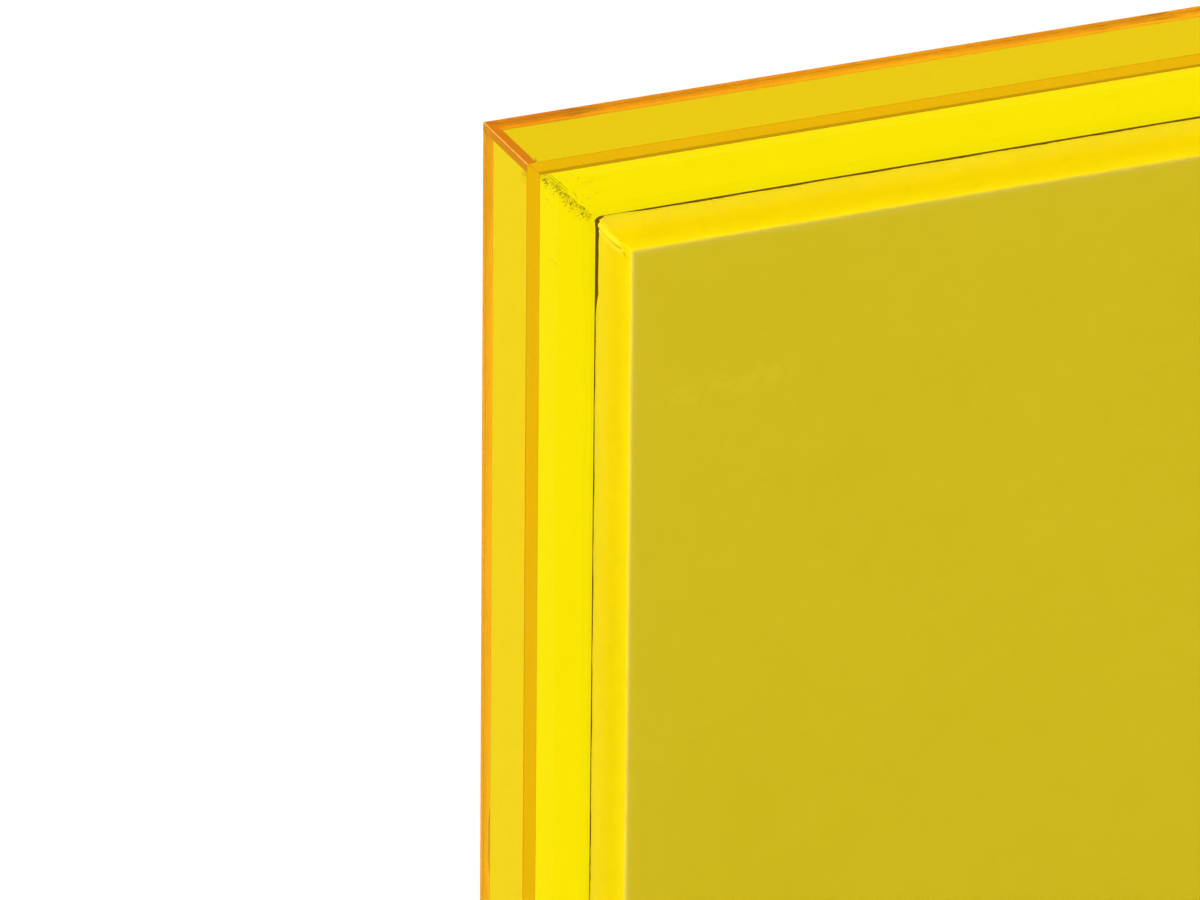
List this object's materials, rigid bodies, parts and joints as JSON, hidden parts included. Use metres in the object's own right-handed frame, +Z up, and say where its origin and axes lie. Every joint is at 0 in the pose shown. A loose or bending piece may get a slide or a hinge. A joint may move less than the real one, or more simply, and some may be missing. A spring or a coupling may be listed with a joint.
{
  "type": "tray-framed canvas",
  "caption": "Stretched painted canvas in a clear yellow tray frame, with mitred walls, wooden stretcher bars, corner keys, and hanger rings that swing on the back.",
  "frame": {"origin": "middle of the bottom wall's underside, half way through the tray's depth", "axes": "+Z up the tray's height, +X along its width to the right seen from the front, -Y out of the tray's open front"},
  "size_m": [0.4954, 0.0534, 0.5954],
  "materials": {
    "tinted_sheet": "polished clear yellow cast sheet",
    "painted_cloth": "matt yellow ground on plain-woven cotton duck",
    "pine": "planed softwood",
    "beech": "planed hardwood",
    "zinc": "bright zinc plate",
    "nickel": "nickel plate",
    "nylon": "natural moulded nylon",
    "rubber": "soft translucent bumper"
  },
  "bodies": {
    "root": {"top_wall": "tinted_sheet", "right_wall": "tinted_sheet", "bottom_wall": "tinted_sheet", "left_wall": "tinted_sheet", "back_panel": "tinted_sheet", "top_bar": "pine", "right_bar": "pine", "bottom_bar": "pine", "left_bar": "pine", "key_top_bar_right": "beech", "key_top_bar_left": "beech", "key_right_bar_bottom": "beech", "key_right_bar_top": "beech", "key_bottom_bar_left": "beech", "key_bottom_bar_right": "beech", "key_left_bar_top": "beech", "key_left_bar_bottom": "beech", "canvas_cloth": "painted_cloth", "fixing_screw_1": "zinc", "fixing_screw_2": "zinc", "fixing_screw_3": "zinc", "fixing_screw_4": "zinc", "fixing_screw_5": "zinc", "fixing_screw_6": "zinc", "fixing_washer_1": "nylon", "fixing_washer_2": "nylon", "fixing_washer_3": "nylon", "fixing_washer_4": "nylon", "fixing_washer_5": "nylon", "fixing_washer_6": "nylon", "hanger_strap_left": "nickel", "hanger_strap_right": "nickel", "hanger_screw_left_upper": "nickel", "hanger_screw_left_lower": "nickel", "hanger_screw_right_upper": "nickel", "hanger_screw_right_lower": "nickel", "bumper_top_left": "rubber", "bumper_top_right": "rubber", "bumper_bottom_left": "rubber", "bumper_bottom_right": "rubber"},
    "ring_left": {"hanger_ring_left": "nickel"},
    "ring_right": {"hanger_ring_right": "nickel"}
  },
  "joints": [
    {"name": "ring_left_swing", "type": "hinge", "parent": "root", "child": "ring_left", "pos_m": [-0.1792, 0.02625, 0.4477], "axis": [1, 0, 0], "range_deg": [0, 175]},
    {"name": "ring_right_swing", "type": "hinge", "parent": "root", "child": "ring_right", "pos_m": [0.1792, 0.02625, 0.4477], "axis": [1, 0, 0], "range_deg": [0, 175]}
  ]
}
